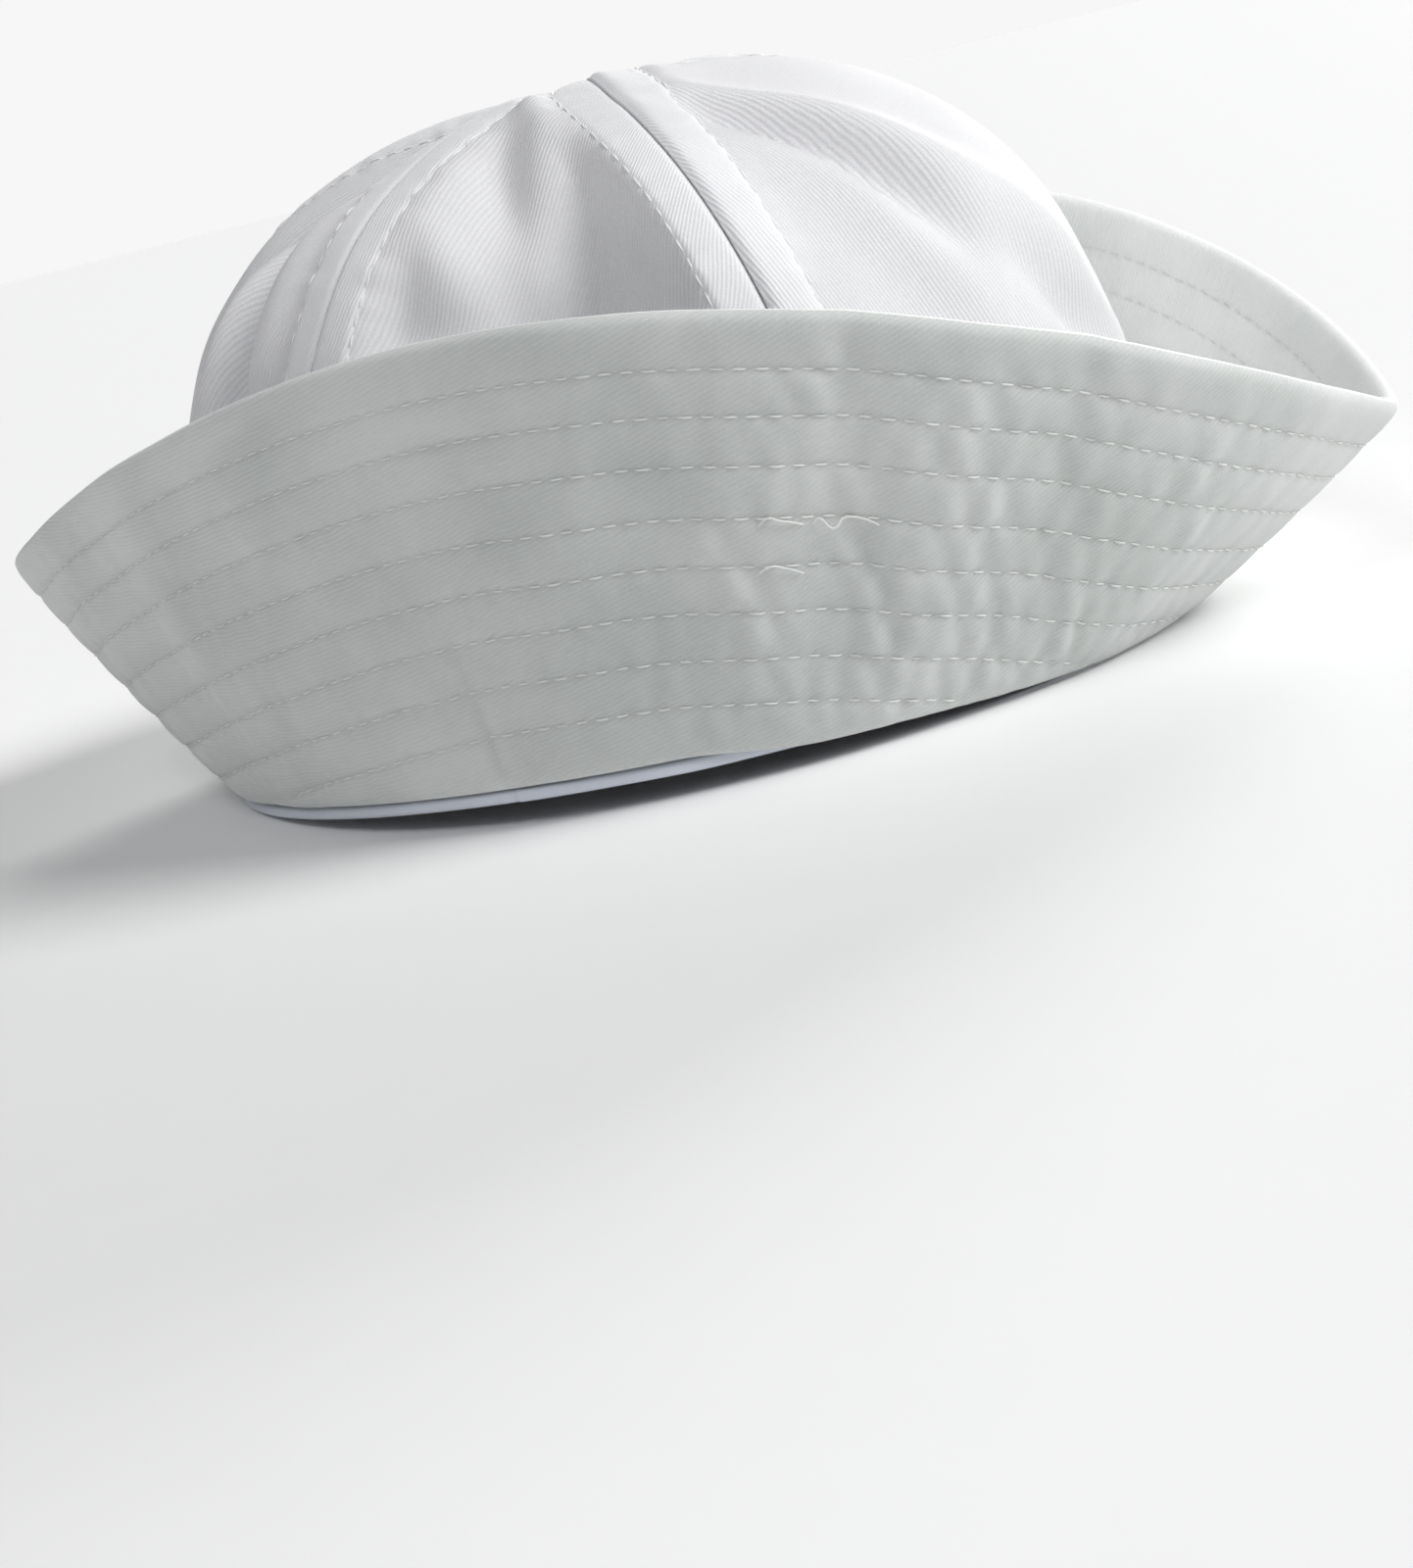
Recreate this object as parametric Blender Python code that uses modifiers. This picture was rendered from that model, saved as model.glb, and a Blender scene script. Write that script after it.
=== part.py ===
"""Sailor cap of white cotton twill: a soft crown of six gores, a turned-up brim and an inner band.

Frame: metres, +Z up, +X to the front of the cap, origin under the middle of the head opening.
Angles round the cap run from 0 at the front, through 90 on the wearer's left, to 180 at the back.
"""
import math

import bmesh
import bpy
import numpy as np

MM = 0.001

# head opening, measured on the outer face of the brim at its bottom fold
OPENING_FRONT = 105.0 * MM
OPENING_BACK = 108.0 * MM
OPENING_WIDTH = 176.0 * MM
OPENING_TAPER = 0.043          # the oval is leaner at its four quarters than an ellipse
SIDE_LIFT = 5.0 * MM           # the edge of the opening rises over the ears
LIFT_START = 0.18              # the edge lies flat on the table up to here, front and back

# brim: one stitched strip of two plies, turned up, that flares into a tip front and back
TIP_FRONT = 151.5 * MM
TIP_BACK = 151.5 * MM
RIM_HALF_WIDTH = 97.0 * MM
RIM_FULLNESS = 1.28            # 1 is an ellipse, more is leaner towards the tips
RIM_FORWARD = 0.245            # the widest place lies ahead of the middle
RIM_HEIGHT_SIDE = 92.0 * MM
RIM_HEIGHT_FRONT = 31.7 * MM
RIM_HEIGHT_BACK = 56.0 * MM
RIM_RISE_FRONT = 0.85          # how fast the rim climbs from each tip
RIM_RISE_BACK = 1.00
BRIM_WALL = 2.6 * MM
HEM_EXTRA = 0.9 * MM           # the turned hem along the rim is thicker
HEM_DEPTH = 10.0 * MM
BRIM_BOW = 1.5 * MM            # the strip stands a little round between fold and rim
FOLD_HIGH = 2.8 * MM           # the fold sits on the band's lip where the lip shows
FOLD_LOW = 0.4 * MM            # ahead of that it hangs down to the table

# crown
CROWN_HEIGHT = 127.0 * MM
CROWN_SHIFT = 8.8 *  MM        # the top leans to the front
CROWN_SIDE_SHIFT = -3.3 * MM
CROWN_SQUARE = 2.9             # 2 is a round dome, more has steeper sides and a flatter top
CROWN_SQUARE_SLANT = -0.2      # rounder at the front than at the back
CROWN_WALL = 1.6 * MM
CROWN_FOOT = 2.8 * MM
GORE_SWELL = 0.022             # the middle of a gore stands proud by this share of its radius
SEAM_GAP = 0.3 * MM
GORE_TIP = 1.5 * MM            # the gores end this far from the middle of the top
FIT_GAP = 0.35 * MM

# inner band
BAND_WALL = 1.2 * MM
BAND_HEIGHT = 32.0 * MM
BAND_LEAN = 1.3 * MM           # its top edge leans in with the crown
LIP_HEIGHT = 2.5 * MM
LIP_INSET = 1.0 * MM           # the lip shows under the fold by this much less than its reach
LIP_INSET_FRONT = 3.5 * MM

# crown seams: angle at the foot, and how far the seam drifts round on its way to the top
GORE_SEAMS = (
    # degrees, drift
    (10.0, 6.0),
    (68.0, 0.0),
    (126.0, -4.0),
    (184.0, 0.0),
    (240.5, 10.0),
    (306.5, -22.0),
)

# soft dents and folds of the crown, placed by angle and by share of the way up
CROWN_FOLDS = (
    # degrees, up, half length mm, half width mm, turn degrees, depth mm (in is minus)
    (287.0, 0.49, 24.0, 15.0, 70.0, -6.5),    # big dent of the near gore
    (269.0, 0.60, 30.0, 8.0, 100.0, 2.5),     # soft ridge beside it, down from the peak
    (258.0, 0.86, 14.0, 12.0, 0.0, 4.0),      # peak of the near gore, by the top
    (240.0, 0.80, 16.0, 9.0, 90.0, -2.5),     # hollow behind the peak
    (319.0, 0.585, 36.0, 8.0, -50.0, -4.5),   # valley down the front gore
    (338.0, 0.46, 44.0, 7.0, -53.0, 2.5),     # ridge ahead of the valley
    (350.0, 0.30, 15.0, 9.0, 80.0, -3.0),     # dent over the brim at the front
    (322.0, 0.40, 22.0, 12.0, -60.0, -2.5),
    (226.0, 0.45, 26.0, 7.0, 75.0, -3.0),     # folds of the back gore
    (214.0, 0.52, 30.0, 8.0, 70.0, -2.5),
    (198.0, 0.40, 24.0, 10.0, 90.0, -2.0),
    (160.0, 0.50, 30.0, 12.0, 80.0, -3.5),    # the far side
    (118.0, 0.60, 26.0, 9.0, 100.0, -3.0),
    (95.0, 0.42, 24.0, 14.0, 75.0, -4.5),
    (60.0, 0.55, 30.0, 9.0, 60.0, -3.5),
    (30.0, 0.38, 22.0, 9.0, 110.0, -2.5),
)

# soft crumples across the brim, from fold to rim
BRIM_CRUMPLES = (
    # degrees, half width mm, depth mm
    (262.0, 9.0, -0.8),
    (291.0, 8.0, 1.1),
    (299.0, 6.0, -1.2),
    (308.0, 8.0, 1.0),
    (317.0, 7.0, -1.1),
    (330.0, 8.0, 0.8),
    (228.0, 12.0, -1.0),
    (40.0, 12.0, 0.9),
    (75.0, 14.0, -1.1),
    (112.0, 12.0, 1.0),
    (150.0, 12.0, -0.9),
)


def smooth(value, low, high):
    """Runs softly from 0 at low to 1 at high."""
    share = np.clip((value - low) / (high - low), 0, 1)
    return share * share * (3 - 2 * share)


def lift(t):
    """Height of the opening's edge: flat on the table front and back, raised at the sides."""
    share = np.clip((np.sin(t) ** 2 - LIFT_START) / (1 - LIFT_START), 0, 1)
    return SIDE_LIFT * share ** 1.2


def band_shows(t):
    """1 where the band's lip shows under the fold, 0 round the front."""
    return 1 - smooth(np.cos(t), 0.20, 0.45)


def oval(t, inset):
    """A point of the opening's oval, moved in from the fold's outer face."""
    lean = 1 - OPENING_TAPER * np.sin(2 * t) ** 2
    c = np.cos(t)
    x = (np.where(c > 0, OPENING_FRONT, OPENING_BACK) * lean - inset) * c
    y = (OPENING_WIDTH / 2 * lean - inset) * np.sin(t)
    return x, y


def rim(t):
    """The rim line of the turned-up brim."""
    c = np.cos(t)
    s2 = np.sin(t) ** 2
    ahead = (1 + c) / 2
    x = np.where(c > 0, TIP_FRONT, TIP_BACK) * c
    y = RIM_HALF_WIDTH * np.sign(np.sin(t)) * s2 ** (RIM_FULLNESS / 2) * (1 + RIM_FORWARD * c)
    tip = RIM_HEIGHT_FRONT * ahead + RIM_HEIGHT_BACK * (1 - ahead)
    rise = RIM_RISE_FRONT * ahead + RIM_RISE_BACK * (1 - ahead)
    z = tip + (RIM_HEIGHT_SIDE - tip) * s2 ** rise
    return np.stack([x, y, z], -1)


def turn_between(t, degrees):
    """Angle from a place given in degrees, by the shorter way round."""
    return (t - math.radians(degrees) + math.pi) % (2 * math.pi) - math.pi


def brim(t, v):
    """Outer face of the brim: v runs from 0 at the fold to 1 at the rim."""
    x, y = oval(t, 0)
    fold = FOLD_LOW + (FOLD_HIGH - FOLD_LOW) * band_shows(t)
    low = np.stack([x, y, lift(t) + fold], -1)
    high = rim(t)
    out = np.stack([np.cos(t) / OPENING_FRONT, np.sin(t) * 2 / OPENING_WIDTH, 0 * t], -1)
    out = out / np.linalg.norm(out, axis=-1, keepdims=True)
    stand = BRIM_BOW * 4 * v * (1 - v)
    around = np.hypot(x, y)
    for degrees, width, depth in BRIM_CRUMPLES:
        across = turn_between(t, degrees) * around / (width * MM)
        stand = stand + depth * MM * np.exp(-across ** 2) * np.sin(math.pi * np.clip(v, 0, 1)) ** 0.7
    return low + (high - low) * v[..., None] + out * stand[..., None]


def seam_angles(w):
    """Angle of every crown seam at the height w, the first one again at the end."""
    angles = [np.radians(foot + drift * w ** 2) for foot, drift in GORE_SEAMS]
    return angles + [angles[0] + 2 * math.pi]


def crown(t, w):
    """Outer face of the crown: w runs from 0 at the foot to 1 at the middle of the top."""
    climb = w * math.pi / 2
    c, s = np.cos(climb), np.sin(climb)
    square = CROWN_SQUARE + CROWN_SQUARE_SLANT * np.cos(t)
    k = (np.abs(c) ** square + np.abs(s) ** square) ** (-1 / square)
    out, up = k * c, k * s
    swell = 0 * t
    seams = seam_angles(w)
    for first, second in zip(seams[:-1], seams[1:]):
        u = np.mod(t - first, 2 * math.pi) / (second - first)
        swell = swell + np.where(u < 1, np.sin(math.pi * np.minimum(u, 1)), 0)
    swell = 1 + GORE_SWELL * swell * np.sin(math.pi * np.clip(w, 0, 1)) ** 0.8
    x, y = oval(t, BRIM_WALL + FIT_GAP)
    foot = CROWN_FOOT + lift(t)
    fold = 0 * t
    around = np.hypot(x, y) * out
    height = 1.5 * CROWN_HEIGHT
    for degrees, at, length, width, turned, depth in CROWN_FOLDS:
        right = turn_between(t, degrees) * around
        above = (w - at) * height
        turned = math.radians(turned)
        along = (right * math.cos(turned) + above * math.sin(turned)) / (length * MM)
        across = (above * math.cos(turned) - right * math.sin(turned)) / (width * MM)
        fold = fold + depth * MM * np.exp(-along ** 2 - across ** 2)
    fold = fold * smooth(w, 0.12, 0.28)
    x = x * out * swell + CROWN_SHIFT * up ** 2
    y = y * out * swell + CROWN_SIDE_SHIFT * up ** 2
    z = foot + (CROWN_HEIGHT - foot) * up
    # a fold moves the cloth along the dome's own slope
    level = np.abs(c) ** (square - 1)
    rising = np.abs(s) ** (square - 1)
    slope = np.hypot(level, rising)
    x = x + fold * level / slope * np.cos(t)
    y = y + fold * level / slope * np.sin(t)
    z = z + fold * rising / slope
    return np.stack([x, y, z], -1)
# end of shapes


def cloth(name, colour, roughness):
    """A plain woven finish."""
    material = bpy.data.materials.new(name)
    material.use_nodes = True
    shader = material.node_tree.nodes["Principled BSDF"]
    shader.inputs["Base Color"].default_value = (*colour, 1)
    shader.inputs["Roughness"].default_value = roughness
    return material


def sheet(name, columns, rows, place, material, collection):
    """A grid of cloth laid along a surface: place gives a point from a column and a row."""
    work = bmesh.new()
    bmesh.ops.create_grid(work, x_segments=columns, y_segments=rows, size=0.5)
    for vertex in work.verts:
        column = round((vertex.co.x + 0.5) * columns)
        row = round((vertex.co.y + 0.5) * rows)
        vertex.co = place(column, row)
    bmesh.ops.remove_doubles(work, verts=work.verts, dist=1e-6)
    for face in work.faces:
        face.smooth = True
    mesh = bpy.data.meshes.new(name)
    work.to_mesh(mesh)
    work.free()
    mesh.materials.append(material)
    body = bpy.data.objects.new(name, mesh)
    collection.objects.link(body)
    return body


def build_brim(collection):
    """The turned-up brim: a strip closed to a ring, thicker along its turned hem."""
    rounds = 100
    stops = np.array([0.0, 0.12, 0.34, 0.60, 0.87, 1.0])

    def place(column, row):
        t = np.array([(column % rounds) * 2 * math.pi / rounds])
        return brim(t, np.array([stops[row]]))[0]

    finish = cloth("brim_twill", (0.80, 0.82, 0.79), 0.85)
    body = sheet("brim", rounds, len(stops) - 1, place, finish, collection)
    hem = body.vertex_groups.new(name="hem")
    points = np.array([vertex.co[:] for vertex in body.data.vertices])
    line = rim(np.linspace(0, 2 * math.pi, 721))
    for number, point in enumerate(points):
        away = np.linalg.norm(line - point, axis=1).min()
        hem.add([number], float(1 - smooth(away, HEM_DEPTH * 0.9, HEM_DEPTH * 1.2)), "REPLACE")
    wall = body.modifiers.new("two plies", "SOLIDIFY")
    wall.thickness = BRIM_WALL + HEM_EXTRA
    wall.offset = -1
    wall.vertex_group = "hem"
    wall.thickness_vertex_group = BRIM_WALL / (BRIM_WALL + HEM_EXTRA)
    soften(body, 1.0 * MM)


def soften(body, width):
    """Rounds the cut edges of a wall of cloth."""
    bevel = body.modifiers.new("soft edge", "BEVEL")
    bevel.limit_method = "ANGLE"
    bevel.angle_limit = math.radians(55)
    bevel.width = width
    bevel.segments = 2


def build_gore(number, collection):
    """One gore of the crown, from the brim's fold to the middle of the top."""
    across, up = 12, 18
    stops = np.concatenate([np.linspace(0, 0.9, up - 2), np.array([0.94, 0.965, 1.0])])
    stops = stops * (1 - GORE_TIP / (CROWN_HEIGHT * 0.9))
    middle = crown(np.array([0.0]), np.array([1.0]))[0]

    def place(column, row):
        height = stops[row]
        seams = seam_angles(height)
        at_seam = crown(np.array([seams[number]]), np.array([height]))[0]
        trim = SEAM_GAP / 2 / math.hypot(at_seam[0] - middle[0], at_seam[1] - middle[1])
        first, second = seams[number] + trim, seams[number + 1] - trim
        t = np.array([first + (second - first) * column / across])
        return crown(t, np.array([height]))[0]

    finish = cloth("gore_%d_twill" % (number + 1), (0.84, 0.84, 0.87), 0.85)
    body = sheet("crown_gore_%d" % (number + 1), across, up, place, finish, collection)
    wall = body.modifiers.new("cloth", "SOLIDIFY")
    wall.thickness = CROWN_WALL
    wall.offset = -1


def build_band(collection):
    """The smooth inner band, with its lip turned out under the crown and the fold."""
    rounds = 92
    inner = BRIM_WALL + CROWN_WALL + 2 * FIT_GAP + BAND_WALL
    outer = inner - BAND_WALL

    def section(t):
        lip = LIP_INSET_FRONT + (LIP_INSET - LIP_INSET_FRONT) * band_shows(t)
        return (
            # inset, height
            (lip + 0.5 * MM, 0.0),
            (lip, 0.6 * MM),
            (lip, LIP_HEIGHT - 0.6 * MM),
            (lip + 0.5 * MM, LIP_HEIGHT),
            (outer, LIP_HEIGHT),
            (outer + BAND_LEAN * 0.3, BAND_HEIGHT * 0.55),
            (outer + BAND_LEAN, BAND_HEIGHT),
            (inner + BAND_LEAN, BAND_HEIGHT),
            (inner + BAND_LEAN * 0.3, BAND_HEIGHT * 0.55),
            (inner, LIP_HEIGHT * 0.4),
            (inner - 0.8 * MM, 0.0),
        )

    count = len(section(0.0))

    def place(column, row):
        t = (column % rounds) * 2 * math.pi / rounds
        inset, height = section(t)[row % count]
        x, y = oval(t, inset)
        return float(x), float(y), float(height + lift(t))

    finish = cloth("band_lining", (0.86, 0.88, 0.92), 0.7)
    sheet("sweatband", rounds, count, place, finish, collection)


def build():
    """Clears the scene and makes the cap."""
    for old in list(bpy.data.objects):
        bpy.data.objects.remove(old, do_unlink=True)
    collection = bpy.data.collections.new("sailor_cap")
    bpy.context.scene.collection.children.link(collection)
    build_band(collection)
    for number in range(len(GORE_SEAMS)):
        build_gore(number, collection)
    build_brim(collection)


build()
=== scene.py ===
import math

import bpy
import numpy as np
from mathutils import Matrix, Vector


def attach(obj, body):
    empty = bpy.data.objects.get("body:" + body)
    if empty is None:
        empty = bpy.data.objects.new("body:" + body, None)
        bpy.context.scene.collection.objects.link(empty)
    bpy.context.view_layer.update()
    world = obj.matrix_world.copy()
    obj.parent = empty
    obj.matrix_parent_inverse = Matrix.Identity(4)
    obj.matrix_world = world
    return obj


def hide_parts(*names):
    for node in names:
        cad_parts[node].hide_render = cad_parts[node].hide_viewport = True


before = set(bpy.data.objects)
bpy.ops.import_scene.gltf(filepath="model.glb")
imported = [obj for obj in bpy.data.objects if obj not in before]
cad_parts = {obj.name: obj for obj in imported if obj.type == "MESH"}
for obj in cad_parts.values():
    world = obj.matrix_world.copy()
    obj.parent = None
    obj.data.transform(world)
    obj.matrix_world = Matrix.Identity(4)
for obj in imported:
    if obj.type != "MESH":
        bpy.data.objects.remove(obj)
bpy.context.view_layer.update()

# ------------------------
# Crown gores. Six wedges of bleached cotton twill, sewn side to side from the
# brim to the middle of the top. The seam allowances are pressed open and
# topstitched, so each seam has a double band on both sides.
# ------------------------
MM = 0.001
FULL_TURN = 2 * math.pi

OPENING_FRONT = 105.0 * MM
OPENING_BACK = 108.0 * MM
OPENING_WIDTH = 176.0 * MM
OPENING_TAPER = 0.043
SIDE_LIFT = 5.0 * MM
LIFT_START = 0.18
BRIM_WALL = 2.6 * MM
FIT_GAP = 0.35 * MM

CROWN_HEIGHT = 127.0 * MM
CROWN_CLIMB = 1.5 * CROWN_HEIGHT  # about the way over the cloth from the foot to the top's middle
CROWN_SHIFT = 8.8 * MM
CROWN_SIDE_SHIFT = -3.3 * MM
CROWN_SQUARE = 2.9
CROWN_SQUARE_SLANT = -0.2
CROWN_WALL = 1.6 * MM
CROWN_FOOT = 2.8 * MM
GORE_SWELL = 0.022
SEAM_SLIT = 0.04 * MM
SEAM_BAND = 9.6 * MM  # topstitching this far from the seam
SEAM_BAND_SHARE = 0.36  # or this share of a gore's width, where the gore is narrow
SEAM_HOLD = 0.80  # how far the stitched bands keep folds from crossing them
HOLD_FROM, HOLD_TO = 0.7 * SEAM_BAND, 1.45 * SEAM_BAND
SEAM_RIB = 0.7 * MM  # the stiff seams stand up while the cloth sags between them
RIB_WIDTH = 1.2 * SEAM_BAND
FOLDS_BEGIN = (0.12, 0.28)  # shares of the height between which the folds grow in,
RIBS_BEGIN = (0.20, 0.38)  # the ribs grow in,
RIBS_END = (0.80, 0.92)  # and the ribs end
BAND_RISES = (0.8, 0.8, 0.8, 0.8, 0.4, 1.0)  # mm that the upper side of each seam stands proud
BAND_RISE_UNDER = 0.30 * MM  # and the lower side this much
SEAM_GROOVE = 0.15 * MM  # the cloth dips into a seam
STITCH_GROOVE = 0.14 * MM  # and under its stitches
GROOVE_WIDTH = 0.75 * MM
SEAM_PUCKER = 0.22 * MM  # it puckers beside the stitches
PUCKER_REACH = 3.4 * MM
BAND_ENDS = (0.86, 1.06)  # shares of its reach between which a band's rise ends
CLOTH_UNEVEN = 0.25 * MM
WIDTHS_CALM = (2.0 * MM, 26.0 * MM)  # all this relief grows in between these widths of a gore
HEIGHTS_CALM = (0.02, 0.12)  # and these shares of the height
WIDTH_POINTS = 25  # points at which a gore's width is measured
WELD = 2e-6  # points of a mesh that lie closer than this become one

GORE_SEAMS = (
    # degrees at the foot, drift on the way up
    (26.0, 26.0), (78.0, 0.0), (129.0, -4.0), (181.0, -12.0), (240.5, 10.0), (307.5, -31.0),
)
CROWN_FOLDS = (
    # degrees, up, half length mm, half width mm, turn degrees, depth mm (in is minus)
    (279.5, 0.550, 25.0, 15.0, 112.0, -14.6),  # big dent of the near gore, along its seam
    (272.5, 0.440, 30.0, 16.0, -10.0, -15.5),  # the cloth tucks in below it
    (290.5, 0.412, 13.0, 11.0, 105.0, 4.0),    # and comes out again at the foot of its seam
    (273.0, 0.650, 22.0, 5.5, 92.0, 3.0),      # ridge beside it, down from the top
    (265.5, 0.660, 19.0, 5.5, 94.0, -3.2),     # soft crease behind the ridge
    (262.5, 0.560, 15.0, 5.5, 118.0, -2.2),
    (257.5, 0.600, 34.0, 7.0, 103.0, 2.6),     # full cloth behind the crease
    (263.0, 0.830, 15.0, 13.0, 0.0, 6.5),      # peak of the near gore, by the top
    (284.0, 0.760, 22.0, 17.0, 0.0, 3.0),      # the cloth stays full between peak and dent
    (240.0, 0.800, 16.0, 9.0, 90.0, -2.5),     # hollow behind the peak
    (315.0, 0.637, 22.0, 4.2, -51.0, -5.8),    # valley down the front gore
    (329.0, 0.510, 22.0, 4.2, -66.0, -5.6),    # and its lower end
    (320.0, 0.670, 24.0, 5.0, -51.0, 1.2),     # its crest
    (335.0, 0.540, 24.0, 5.0, -64.0, 1.8),
    (351.0, 0.385, 26.0, 5.5, -54.0, 3.4),     # ridge at the front
    (347.0, 0.325, 16.0, 4.5, -50.0, -4.0),    # and the crease below it
    (354.0, 0.300, 13.0, 9.0, 80.0, -2.0),     # dent over the brim at the front
    (322.0, 0.400, 24.0, 12.0, -60.0, -3.6),
    (221.5, 0.470, 30.0, 4.5, 98.0, -6.5),     # folds of the back gore
    (228.0, 0.540, 30.0, 6.5, 100.0, 3.0),
    (215.5, 0.500, 36.0, 4.5, 90.0, 4.5),
    (204.5, 0.470, 36.0, 7.0, 92.0, -11.0),
    (214.0, 0.710, 36.0, 17.0, 90.0, -6.0),    # it lies flat higher up
    (346.0, 0.660, 30.0, 18.0, -30.0, -2.5),   # and so does the front gore
    (231.0, 0.390, 15.0, 4.5, 52.0, -3.0),
    (226.0, 0.330, 15.0, 4.5, 58.0, 2.4),
    (160.0, 0.500, 30.0, 12.0, 80.0, -3.5),    # the far side
    (118.0, 0.600, 26.0, 9.0, 100.0, -4.0),
    (95.0, 0.420, 24.0, 12.0, 75.0, -5.5),
    (60.0, 0.550, 30.0, 8.0, 60.0, -4.5),
    (30.0, 0.380, 22.0, 8.0, 110.0, -3.5),
)


def smooth(value, low, high):
    """Runs softly from 0 at low to 1 at high."""
    share = np.clip((value - low) / (high - low), 0, 1)
    return share * share * (3 - 2 * share)


def hill(value, width):
    """1 where the value is 0, and softly down to 0 beyond the width."""
    return np.exp(-(value / width) ** 2)


def travelled(points):
    """How far along a line, or along each column of a grid, its points lie."""
    steps = np.linalg.norm(np.diff(points, axis=0), axis=-1)
    return np.concatenate([np.zeros_like(steps[:1]), np.cumsum(steps, axis=0)])


def lift(turn):
    """Height of the opening's edge: flat on the table front and back, raised at the sides."""
    share = np.clip((np.sin(turn) ** 2 - LIFT_START) / (1 - LIFT_START), 0, 1)
    return SIDE_LIFT * share ** 1.2


def oval(turn, inset):
    """A point of the opening's oval, moved in from the fold's outer face."""
    lean = 1 - OPENING_TAPER * np.sin(2 * turn) ** 2
    cosine = np.cos(turn)
    x = (np.where(cosine > 0, OPENING_FRONT, OPENING_BACK) * lean - inset) * cosine
    y = (OPENING_WIDTH / 2 * lean - inset) * np.sin(turn)
    return x, y


def turn_between(turn, degrees):
    """Angle from a place given in degrees, by the shorter way round."""
    return (turn - math.radians(degrees) + math.pi) % FULL_TURN - math.pi


def seam_angles(height):
    """Angle of every crown seam at a height, the first one again at the end."""
    angles = [np.radians(foot + drift * height ** 2) for foot, drift in GORE_SEAMS]
    return angles + [angles[0] + FULL_TURN]


def crown(turn, height):
    """Outer face of the crown: its height runs from 0 at the foot to 1 at the middle of the top."""
    climb = height * math.pi / 2
    cosine, sine = np.cos(climb), np.sin(climb)
    square = CROWN_SQUARE + CROWN_SQUARE_SLANT * np.cos(turn)
    reach = (np.abs(cosine) ** square + np.abs(sine) ** square) ** (-1 / square)
    out, up = reach * cosine, reach * sine
    swell = 0 * turn
    seams = seam_angles(height)
    for first, second in zip(seams[:-1], seams[1:]):
        share = np.mod(turn - first, FULL_TURN) / (second - first)
        swell = swell + np.where(share < 1, np.sin(math.pi * np.minimum(share, 1)), 0)
    swell = 1 + GORE_SWELL * swell * np.sin(math.pi * np.clip(height, 0, 1)) ** 0.8
    x, y = oval(turn, BRIM_WALL + FIT_GAP)
    foot = CROWN_FOOT + lift(turn)
    fold = 0 * turn
    around = np.hypot(x, y) * out
    free, rib = 1.0, 0.0
    for seam in seams[:-1]:
        away = np.abs(np.mod(turn - seam + math.pi, FULL_TURN) - math.pi) * around
        free = free * (1 - SEAM_HOLD * (1 - smooth(away, HOLD_FROM, HOLD_TO)))
        rib = rib + SEAM_RIB * hill(away, RIB_WIDTH)
    for degrees, at, length, width, turned, depth in CROWN_FOLDS:
        right = turn_between(turn, degrees) * around
        above = (height - at) * CROWN_CLIMB
        turned = math.radians(turned)
        along = (right * math.cos(turned) + above * math.sin(turned)) / (length * MM)
        across = (above * math.cos(turned) - right * math.sin(turned)) / (width * MM)
        fold = fold + depth * MM * np.exp(-along ** 2 - across ** 2)
    fold = fold * free * smooth(height, *FOLDS_BEGIN)
    fold = fold + rib * smooth(height, *RIBS_BEGIN) * (1 - smooth(height, *RIBS_END))
    x = x * out * swell + CROWN_SHIFT * up ** 2
    y = y * out * swell + CROWN_SIDE_SHIFT * up ** 2
    z = foot + (CROWN_HEIGHT - foot) * up
    level = np.abs(cosine) ** (square - 1)
    rising = np.abs(sine) ** (square - 1)
    slope = np.hypot(level, rising)
    x = x + fold * level / slope * np.cos(turn)
    y = y + fold * level / slope * np.sin(turn)
    z = z + fold * rising / slope
    return np.stack([x, y, z], -1)


def unit(vectors):
    """The directions of some vectors, each with a length of 1."""
    return vectors / np.maximum(np.linalg.norm(vectors, axis=-1, keepdims=True), 1e-12)


def facing(shape, first, second, step=0.004):
    """Outward direction of a surface that is given by two shares."""
    second = np.clip(second, 0.001, 1 - 2 * step)
    one = shape(first + step, second) - shape(first - step, second)
    two = shape(first, second + step) - shape(first, second - step)
    return unit(np.cross(one, two))


def ripple(along, *waves):
    """A soft uneven wave: lengths in mm, with their starts and strengths."""
    total = 0 * along
    for length, start, strength in waves:
        total = total + strength * np.sin(FULL_TURN * along / (length * MM) + start)
    return total


def uneven(place):
    """Slow unevenness of pressed cloth, about -1 to 1."""
    x, y, z = place[..., 0] * 1000, place[..., 1] * 1000, place[..., 2] * 1000
    return (0.4 * np.sin(x / 5.1 + z / 9.0 + 1.3) + 0.3 * np.sin(y / 6.3 - z / 4.7 + 0.4)
            + 0.3 * np.sin(x / 8.9 - y / 7.1 + z / 3.9 + 2.2))


def gore_width(number, height):
    """Width of one gore, seam to seam, at each height."""
    seams = seam_angles(height)
    share = np.linspace(0, 1, WIDTH_POINTS)
    line = crown(seams[number] + (seams[number + 1] - seams[number]) * share, height + 0 * share)
    return np.linalg.norm(np.diff(line, axis=1), axis=-1).sum(axis=1)[:, None]


def band_reach(width):
    """How far a band reaches from its seam."""
    return np.minimum(SEAM_BAND, SEAM_BAND_SHARE * width)


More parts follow.
